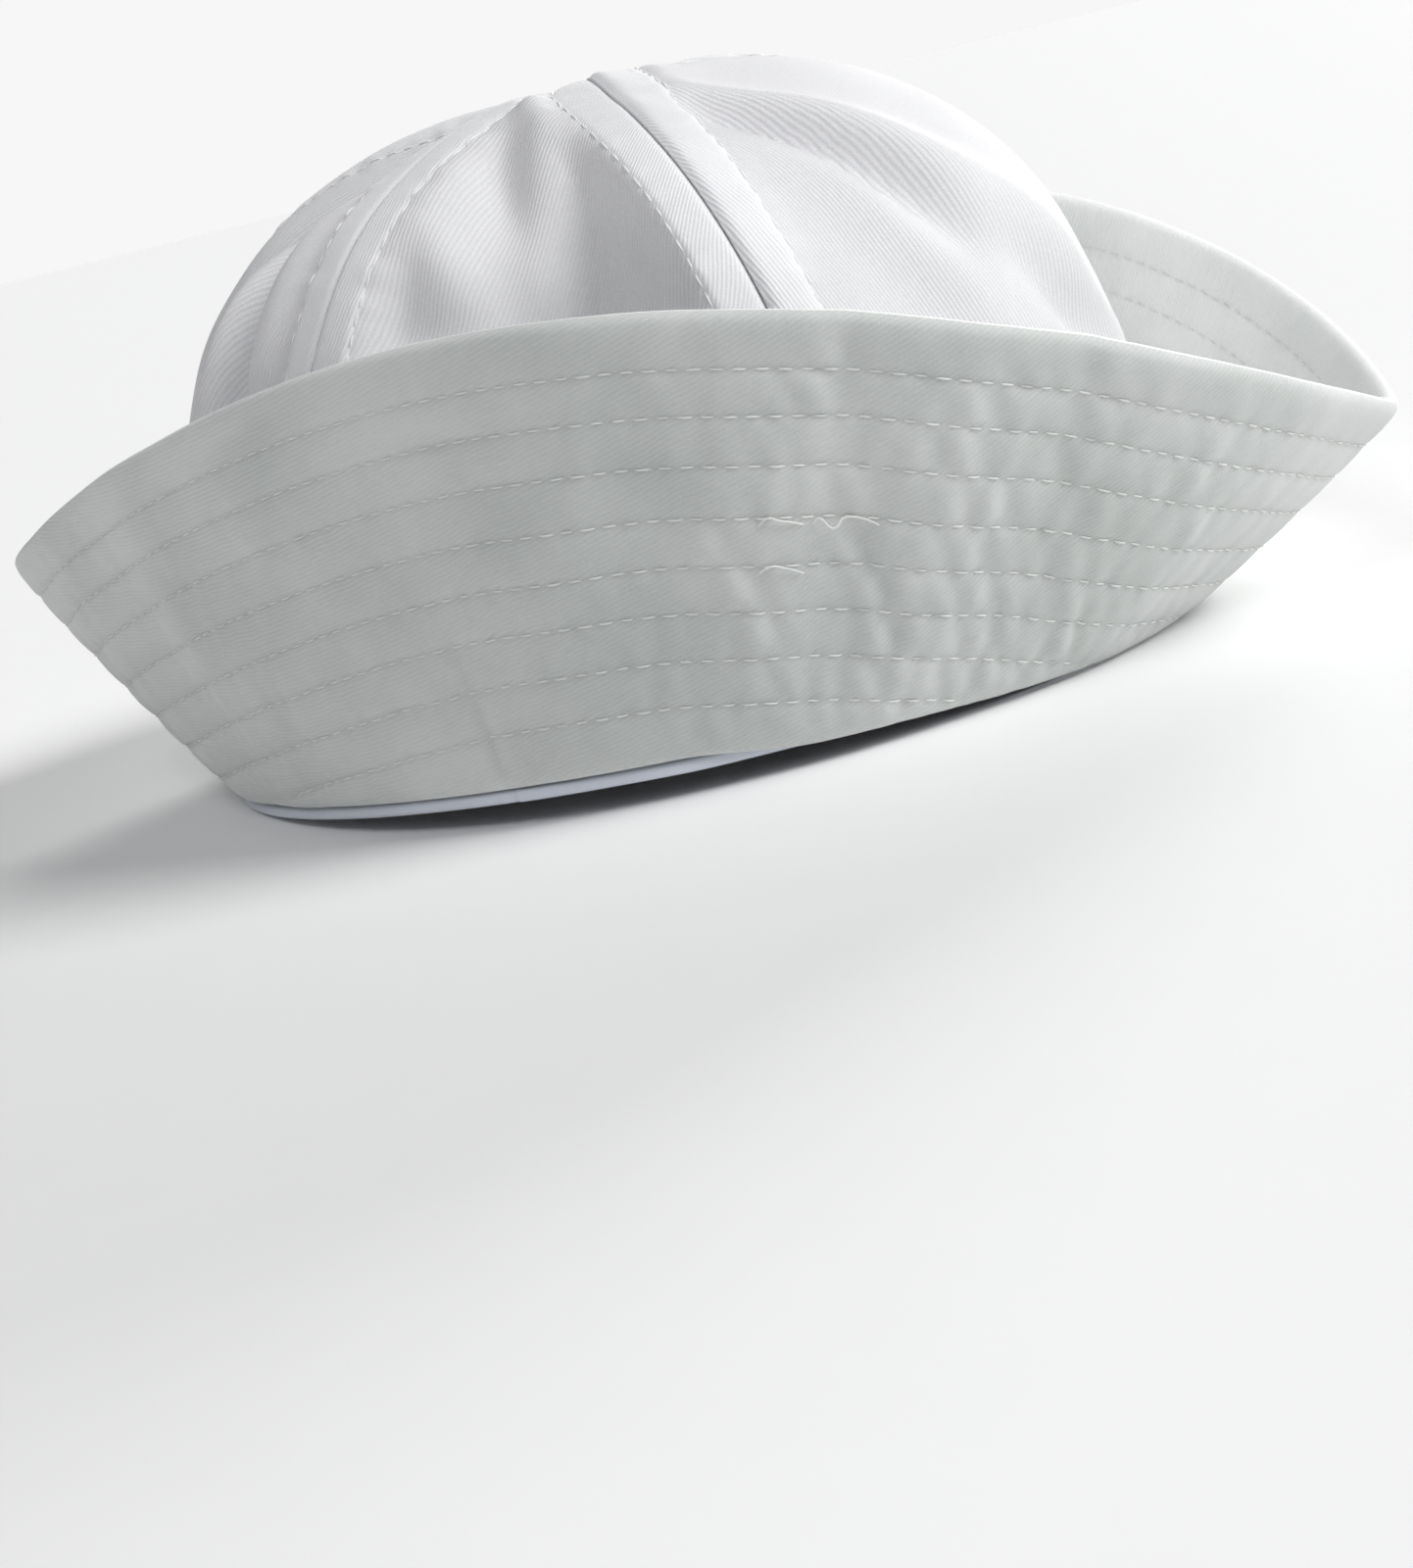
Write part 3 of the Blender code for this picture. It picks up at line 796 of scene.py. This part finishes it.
def stops_from_rim(hem_stops, row_stops, last):
    """Distances from the rim for rows of points, close together at the rows of stitches."""
    stops = [hem_round / MM, *hem_stops]
    for row in range(FOLLOWED_ROWS):
        used = row_stops if row < FOLLOWED_ROWS - 1 else row_stops[:last]
        stops = stops + [QUILT_ROWS[row] + stop for stop in used]
    return np.array(sorted(stops)) * MM


def distance_at(shares):
    """Distance from the rim at the shares of every column."""
    return np.stack([np.interp(shares[:, column], field_shares, field[:, column])
                     for column in range(shares.shape[1])], 1)


def turned_edge(start, end, push, count):
    """A round edge between two rows of points, pushed out from the middle."""
    rows = []
    middle, half = (start + end) / 2, (start - end) / 2
    size = np.linalg.norm(half, axis=-1, keepdims=True)
    for number in range(1, count):
        angle = math.pi * number / count
        rows.append(middle + half * math.cos(angle) + push * size * math.sin(angle))
    return np.array(rows)


fold_share = (BRIM_WALL / 2) / field[0]
upper_stops = stops_from_rim(HEM_STOPS, ROW_STOPS, LAST_STOPS)[::-1]
upper_shares = rows_by_distance(field, field_shares, upper_stops)
steps = np.linspace(0, 1, LOWER_ROWS + 1)[:-1, None]
lower_shares = fold_share + (upper_shares[0] - fold_share) * steps
outer_shares = np.concatenate([lower_shares, upper_shares])
outer_points, _ = brim_ply(angles[None, :], outer_shares, distance_at(outer_shares), inside=False)

upper_stops = stops_from_rim(INSIDE_HEM_STOPS, INSIDE_ROW_STOPS, INSIDE_LAST_STOPS)
upper_shares = rows_by_distance(field, field_shares, upper_stops)
steps = np.linspace(0, 1, INSIDE_LOWER_ROWS + 1)[1:, None]
lower_shares = upper_shares[-1] + (fold_share - upper_shares[-1]) * steps
inner_shares = np.concatenate([upper_shares, lower_shares])
inner_points, _ = brim_ply(angles[None, :], inner_shares, distance_at(inner_shares), inside=True)

rim_push = unit(rim(angles) - brim(angles, 0 * angles + 0.97))
fold_push = unit(brim(angles, 0 * angles) - brim(angles, 0 * angles + 0.04))
over_rim = turned_edge(outer_points[-1], inner_points[0], rim_push, RIM_STEPS)
under_fold = turned_edge(inner_points[-1], outer_points[0], fold_push, FOLD_STEPS)
ring = np.concatenate([outer_points, over_rim, inner_points, under_fold, outer_points[:1]])
travel = travelled(ring)
top_row = len(outer_points) + 2
below = np.abs(travel - travel[top_row])
round_rim = along_rim(angles[1:-1])
strip_end = along_rim(np.radians([JOIN - STRIP_HALF, JOIN + STRIP_HALF]))
bearing = np.concatenate([strip_end[:1], round_rim, strip_end[1:]]) / CONE_RADIUS
pattern = np.stack([(CONE_RADIUS - below) * np.sin(bearing), (CONE_RADIUS - below) * np.cos(bearing)], -1)
# the lighter inner cloth runs from the top of the rim's round over the whole inner ply: a painted highlight
# on the rim and painted light inside
painted_light_rows = (top_row, len(ring) - len(under_fold) - 1)
brim_piece = lay_cloth("quilted_brim", ring, pattern, lining=painted_light_rows)
for name, light, shade in BRIM_PAINTED_PLIES:
    brim_cloth = twill(name, light, shade, BRIM_GRAIN, hollow_shade=0.62, glow=0.70, patches=2.2)
    brim_piece.data.materials.append(brim_cloth)
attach(brim_piece, "root")
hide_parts("brim")

# ------------------------
# Quilting of the brim. Eight rows of lockstitches that follow the rim through
# both plies, so the same rows show on the outer and on the inner face.
# ------------------------
SEW_COLUMNS = 1200
ROW_ROOM = 2.5 * MM  # a row ends where the fold is less than this below it,
ROW_STOP = 1.5 * MM  # and this much before that place

sew_angles = brim_columns(SEW_COLUMNS)
sew_field = rim_distance(sew_angles[None, :], field_shares[:, None])
row_distances = np.array(QUILT_ROWS) * MM
quilting_thread = thread_finish("quilting_thread", (0.82, 0.83, 0.81), (0.70, 0.71, 0.69))
row_shares = rows_by_distance(sew_field, field_shares, row_distances)
for name, inside in (("brim_quilting", False), ("brim_quilting_inside", True)):
    line, out = brim_ply(sew_angles[None, :], row_shares, row_distances[:, None] + 0 * row_shares, inside)
    runs = []
    for row in range(ROWS):
        too_low = line[row][sew_field[0] <= row_distances[row] + ROW_ROOM]
        centre, ahead, side, up = run_of_stitches(line[row], out[row])
        room = np.array([np.linalg.norm(too_low - point, axis=1).min(initial=1.0) for point in centre])
        keep = room > ROW_STOP
        runs.append((centre[keep], ahead[keep], side[keep], up[keep]))
    stitches = sew(name, runs)
    stitches.data.materials.append(thread_material if inside else quilting_thread)
    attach(stitches, "root")

# ------------------------
# Loose threads. Three short ends of the quilting thread that lie along the
# fourth and the fifth row of stitches, towards the front of the near side.
# ------------------------
LOOSE_THREADS = (
    # each a run of places: degrees, mm from the rim, mm off the cloth
    ((291.8, 38.0, 0.0), (292.5, 35.9, 0.5), (293.3, 36.9, 0.7), (294.5, 37.4, 0.4), (295.3, 38.0, 0.0)),
    ((296.2, 37.8, 0.0), (296.6, 36.2, 0.6), (297.4, 38.7, 1.0), (298.1, 38.2, 1.2), (298.5, 36.5, 0.8),
     (300.5, 36.6, 0.3), (301.6, 37.9, 0.0)),
    ((291.6, 46.9, 0.0), (292.5, 45.2, 0.5), (293.5, 45.9, 0.7), (294.5, 46.4, 0.6), (295.2, 47.3, 0.2)),
)
LOOSE_LIFT = 0.2  # mm, so that a thread lies on the cloth and not in it

strands = []
for places in LOOSE_THREADS:
    degrees, distance, off = (np.array(column) for column in zip(*places))
    turn = np.radians(degrees)
    near_field = rim_distance(turn[None, :], field_shares[:, None])
    shares = np.array([np.interp(down, column[::-1], field_shares[::-1])
                       for down, column in zip(distance * MM, near_field.T)])
    face, out = brim_ply(turn[None, :], shares[None, :], distance[None, :] * MM, inside=False)
    path = face[0] + out[0] * (off[:, None] + LOOSE_LIFT) * MM
    curve = bpy.data.curves.new("loose_thread", "CURVE")
    curve.dimensions = "3D"
    curve.bevel_depth = THREAD / 2
    curve.bevel_resolution = 1
    curve.use_fill_caps = True
    spline = curve.splines.new("NURBS")
    spline.points.add(len(path) - 1)
    for point, place in zip(spline.points, path):
        point.co = (*place, 1)
    spline.use_endpoint_u = True
    spline.order_u = 3
    strand = bpy.data.objects.new("loose_thread", curve)
    bpy.context.scene.collection.objects.link(strand)
    strands.append(strand)
bpy.ops.object.select_all(action="DESELECT")
for strand in strands:
    strand.select_set(True)
bpy.context.view_layer.objects.active = strands[0]
bpy.ops.object.convert(target="MESH")
bpy.ops.object.join()
loose = bpy.context.object
loose.name = loose.data.name = "loose_threads"
loose.data.materials.clear()
loose.data.materials.append(quilting_thread)
bpy.ops.object.shade_smooth()
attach(loose, "root")

# ------------------------
# Inner band. A smooth lining strip sewn inside the opening, its lower edge
# turned out as a lip that shows under the brim's fold, round the sides and back.
# ------------------------
BAND_WALL = 1.2 * MM
BAND_HEIGHT = 32.0 * MM
BAND_LEAN = 1.3 * MM
BAND_RADIUS = 95.0 * MM  # about halfway between the opening's length and its width
BAND_WAVE = 0.22 * MM
BAND_ROW = 0.89  # share of the height at which the top edge is stitched
ROW_HOLD, HOLD_SHARE = 0.25 * MM, 0.02  # the stitches pull the band in
LIP_HEIGHT = 2.5 * MM
LIP_INSET = 1.0 * MM
LIP_INSET_FRONT = 3.5 * MM
BAND_SEAM = 264.0  # degrees, where the strip's end laps over its start
SEAM_STEP = 0.45 * MM
SEAM_STOPS = np.array([-0.35, -0.2, -0.1, 0.1, 0.2, 0.35])  # degrees of the columns at the seam
BAND_COLUMNS = 360
BAND_INNER = BRIM_WALL + CROWN_WALL + 2 * FIT_GAP + BAND_WALL
BAND_OUTER = BAND_INNER - BAND_WALL
# the band's bluish colour is darkened: painted shade where its lip lies under the brim's fold
BAND_LIGHT_PAINTED_SHADE = (0.66, 0.70, 0.78)
BAND_SHADE = (0.50, 0.54, 0.62)
LINING_PITCH = 0.5 * MM

even_columns = np.linspace(0, FULL_TURN, BAND_COLUMNS + 1)
band_turn = np.sort(np.concatenate([even_columns, np.radians(BAND_SEAM + SEAM_STOPS)]))
past_seam = turn_between(band_turn, BAND_SEAM)
notch = SEAM_STEP * hill(past_seam, 0.0035)
lap_end = 1 - smooth(turn_between(band_turn, BAND_SEAM + 6), -0.1, 0.1)
lap = smooth(past_seam, -0.006, 0.006) * lap_end * SEAM_STEP
lip = LIP_INSET_FRONT + (LIP_INSET - LIP_INSET_FRONT) * band_shows(band_turn) - lap * 0.8 + notch
wavy = BAND_WAVE * ripple(band_turn * BAND_RADIUS, (17.0, 0.4, 0.5), (31.0, 2.0, 0.5), (47.0, 1.0, 0.5))


def band_face(share):
    """Inset and height of the band's inner face at a share of its height."""
    hold = ROW_HOLD * hill(share - BAND_ROW, HOLD_SHARE)
    swell = wavy * math.sin(math.pi * share)
    return BAND_INNER + BAND_LEAN * share ** 1.5 - hold + swell + lap, BAND_HEIGHT * share + 0.3 * MM


outline = [
    # inset, height
    (lip + 1.1 * MM, 0.0), (lip + 0.5 * MM, 0.08 * MM), (lip + 0.12 * MM, 0.4 * MM), (lip, 0.9 * MM),
    (lip, LIP_HEIGHT - 0.8 * MM + wavy * 0.5), (lip + 0.15 * MM, LIP_HEIGHT - 0.25 * MM),
    (lip + 0.6 * MM, LIP_HEIGHT), (BAND_OUTER - 0.3 * MM, LIP_HEIGHT + 0.1 * MM),
    (BAND_OUTER, LIP_HEIGHT + 0.8 * MM),
]
for share in (0.12, 0.25, 0.4, 0.55, 0.7, 0.85, 0.97):
    climb = LIP_HEIGHT + (BAND_HEIGHT - LIP_HEIGHT) * share
    outline.append((BAND_OUTER + BAND_LEAN * share ** 1.5, climb))
for degrees in (20, 60, 90, 120, 160):
    angle = math.radians(degrees)
    over = BAND_OUTER + BAND_LEAN + BAND_WALL / 2 * (1 - math.cos(angle))
    outline.append((over, BAND_HEIGHT - BAND_WALL / 2 * (1 - math.sin(angle))))
for share in (0.96, 0.92, 0.89, 0.86, 0.8, 0.7, 0.6, 0.5, 0.4, 0.3, 0.2, 0.12, 0.06, 0.02):
    outline.append(band_face(share))
outline.append((BAND_INNER - 0.5 * MM + lap, 0.05 * MM))
outline.append(outline[0])
band_rows = []
for inset, height in outline:
    x, y = oval(band_turn, inset)
    band_rows.append(np.stack([x, y, height + lift(band_turn)], -1))
band_rows = np.array(band_rows)
band_rows[:, -1] = band_rows[:, 0]
travel = travelled(band_rows)
band = lay_cloth("lining_band", band_rows, np.stack([0 * travel + band_turn * BAND_RADIUS, travel], -1))


def lining(name, light, shade):
    """Plain, tightly woven lining cloth, smooth with a faint sheen and painted shade in the weave's hollows.
    """
    cloth = Finish(name, light, roughness=0.6, sheen=0.35)
    flat = cloth.node("ShaderNodeTexCoord", {}, {}, "UV")
    warp, weft = cloth.split(flat)
    fibre = cloth.noise(scale=2200.0, detail=2.0)
    cloud = cloth.noise(scale=40.0)
    thread = FULL_TURN / LINING_PITCH
    weave = (warp * thread).sin() * (weft * thread).sin() * 0.5 + 0.5
    # the weave's hollows are painted darker: painted shade
    tone = ((1 - weave) * 0.25 + (cloud - 0.5) * 0.5).clipped()
    cloth.paint(cloth.blend_colours(tone, light, shade), 0.55 + fibre * 0.15, weave + fibre * 0.4, 0.04 * MM)
    return cloth.material


band.data.materials.append(lining("band_lining", BAND_LIGHT_PAINTED_SHADE, BAND_SHADE))
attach(band, "root")
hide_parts("sweatband")

# one row of stitches holds the band's top edge to the crown
inset, height = band_face(BAND_ROW)
x, y = oval(band_turn, inset)
line = np.stack([x, y, height + lift(band_turn)], -1)
band_stitches = sew("band_topstitching", [run_of_stitches(line, unit(-line * np.array([1, 1, 0])))])
band_stitches.data.materials.append(thread_material)
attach(band_stitches, "root")

# ------------------------
# Floor. A broad pale sheet of matt card under the cap, which runs out to a
# pale horizon. It belongs to the picture and not to the cap.
# ------------------------
FLOOR_SIZE = 12.0
FLOOR_PARTS = 12
CARD_LIGHT = (0.965, 0.965, 0.965)
CARD_SHADE = (0.945, 0.945, 0.95)

bpy.ops.object.select_all(action="DESELECT")
bpy.ops.mesh.primitive_grid_add(x_subdivisions=FLOOR_PARTS, y_subdivisions=FLOOR_PARTS, size=FLOOR_SIZE)
floor = bpy.context.object
floor.name = "floor"
card = Finish("floor_card", CARD_LIGHT, roughness=0.9, sheen=0.0)
grain = card.noise(scale=60.0, detail=2.0)
card.paint(card.blend_colours(grain, CARD_LIGHT, CARD_SHADE), 0.9, grain, 0.02 * MM)
floor.data.materials.append(card.material)

# ------------------------
# Light. Three broad, soft lights: the key from ahead, a fill from the camera's
# side and a low one from behind the cap. The room is dim, with a pale horizon.
# ------------------------
SOFTNESS = 24.0  # degrees across
BACKDROP = (0.93, 0.93, 0.93)
HORIZON = (0.66, 0.66, 0.665)
SHADED = (0.12, 0.12, 0.125)
GLOW = (0.14, 0.14, 0.14)
ROOM = (0.13, 0.132, 0.136)
# where one colour of the room runs into the next, as parts of the direction looked in
SHADED_EDGE = (-0.85, -0.66)
BACKDROP_EDGE = (0.10, 0.70)
CEILING_EDGE = (0.0, 0.8)
WALL_TOP = (0.10, 0.22)
LIGHTS = (
    # name, direction it comes from, strength, colour
    ("key", (0.80, -0.04, 0.60), 2.3, (1.0, 0.998, 0.99)),
    ("fill", (-0.10, -0.58, 0.80), 0.68, (0.985, 0.99, 1.0)),
    ("behind", (0.20, 0.94, 0.26), 2.1, (1.0, 1.0, 0.99)),
)

for name, direction, strength, colour in LIGHTS:
    sun = bpy.data.lights.new(name, "SUN")
    sun.energy = strength
    sun.angle = math.radians(SOFTNESS)
    sun.color = colour
    lamp = bpy.data.objects.new(name, sun)
    bpy.context.scene.collection.objects.link(lamp)
    lamp.rotation_euler = Vector(direction).to_track_quat("Z", "Y").to_euler()

world = bpy.data.worlds.new("pale_room")
bpy.context.scene.world = world
world.use_nodes = True
room = world.node_tree.nodes
direction = room.new("ShaderNodeTexCoord")
axes = room.new("ShaderNodeSeparateXYZ")
world.node_tree.links.new(direction.outputs["Generated"], axes.inputs[0])


def room_blend(axis, low, high, one, two):
    """Runs from one colour to another along an axis of the room."""
    reach = room.new("ShaderNodeMapRange")
    reach.interpolation_type = "SMOOTHSTEP"
    reach.inputs["From Min"].default_value = low
    reach.inputs["From Max"].default_value = high
    tone = room.new("ShaderNodeMix")
    tone.data_type = "RGBA"
    world.node_tree.links.new(axes.outputs[axis], reach.inputs["Value"])
    world.node_tree.links.new(reach.outputs["Result"], tone.inputs[0])
    for place, colour in ((6, one), (7, two)):
        if isinstance(colour, tuple):
            tone.inputs[place].default_value = (*colour, 1)
        else:
            world.node_tree.links.new(colour, tone.inputs[place])
    return tone.outputs[2]


far_wall = room_blend("X", *SHADED_EDGE, SHADED, BACKDROP)
walls = room_blend("Y", *BACKDROP_EDGE, HORIZON, far_wall)
ceiling = room_blend("Y", *CEILING_EDGE, ROOM, GLOW)
world.node_tree.links.new(room_blend("Z", *WALL_TOP, walls, ceiling), room["Background"].inputs["Color"])
bpy.context.scene.view_settings.view_transform = "Standard"

# ------------------------
# Camera. It has the photograph's viewing angle: from the near side, a little
# towards the front and from above, and rolled.
# ------------------------
YAW, ELEVATION, ROLL = math.radians(20.0), math.radians(14.5), math.radians(-14.4)
DISTANCE = 0.593
TARGET = np.array([-0.0055, 0.0, -0.021])
FOCAL_PIXELS, FRAME_HEIGHT = 2795.0, 1600.0
SENSOR_HEIGHT = 36.0
flat_back = math.cos(ELEVATION)
back = np.array([math.sin(YAW) * flat_back, -math.cos(YAW) * flat_back, math.sin(ELEVATION)])
level = np.array([math.cos(YAW), math.sin(YAW), 0.0])
upright = np.cross(back, level)
right = math.cos(ROLL) * level + math.sin(ROLL) * upright
up = -math.sin(ROLL) * level + math.cos(ROLL) * upright
lens = bpy.data.cameras.new("camera")
lens.sensor_fit = "VERTICAL"
lens.sensor_height = SENSOR_HEIGHT
lens.lens = FOCAL_PIXELS * SENSOR_HEIGHT / FRAME_HEIGHT
lens.clip_start = 0.01
camera = bpy.data.objects.new("camera", lens)
bpy.context.scene.collection.objects.link(camera)
spot = TARGET + back * DISTANCE
camera.matrix_world = Matrix(
    [[right[axis], up[axis], back[axis], spot[axis]] for axis in range(3)] + [[0, 0, 0, 1]])
bpy.context.scene.camera = camera
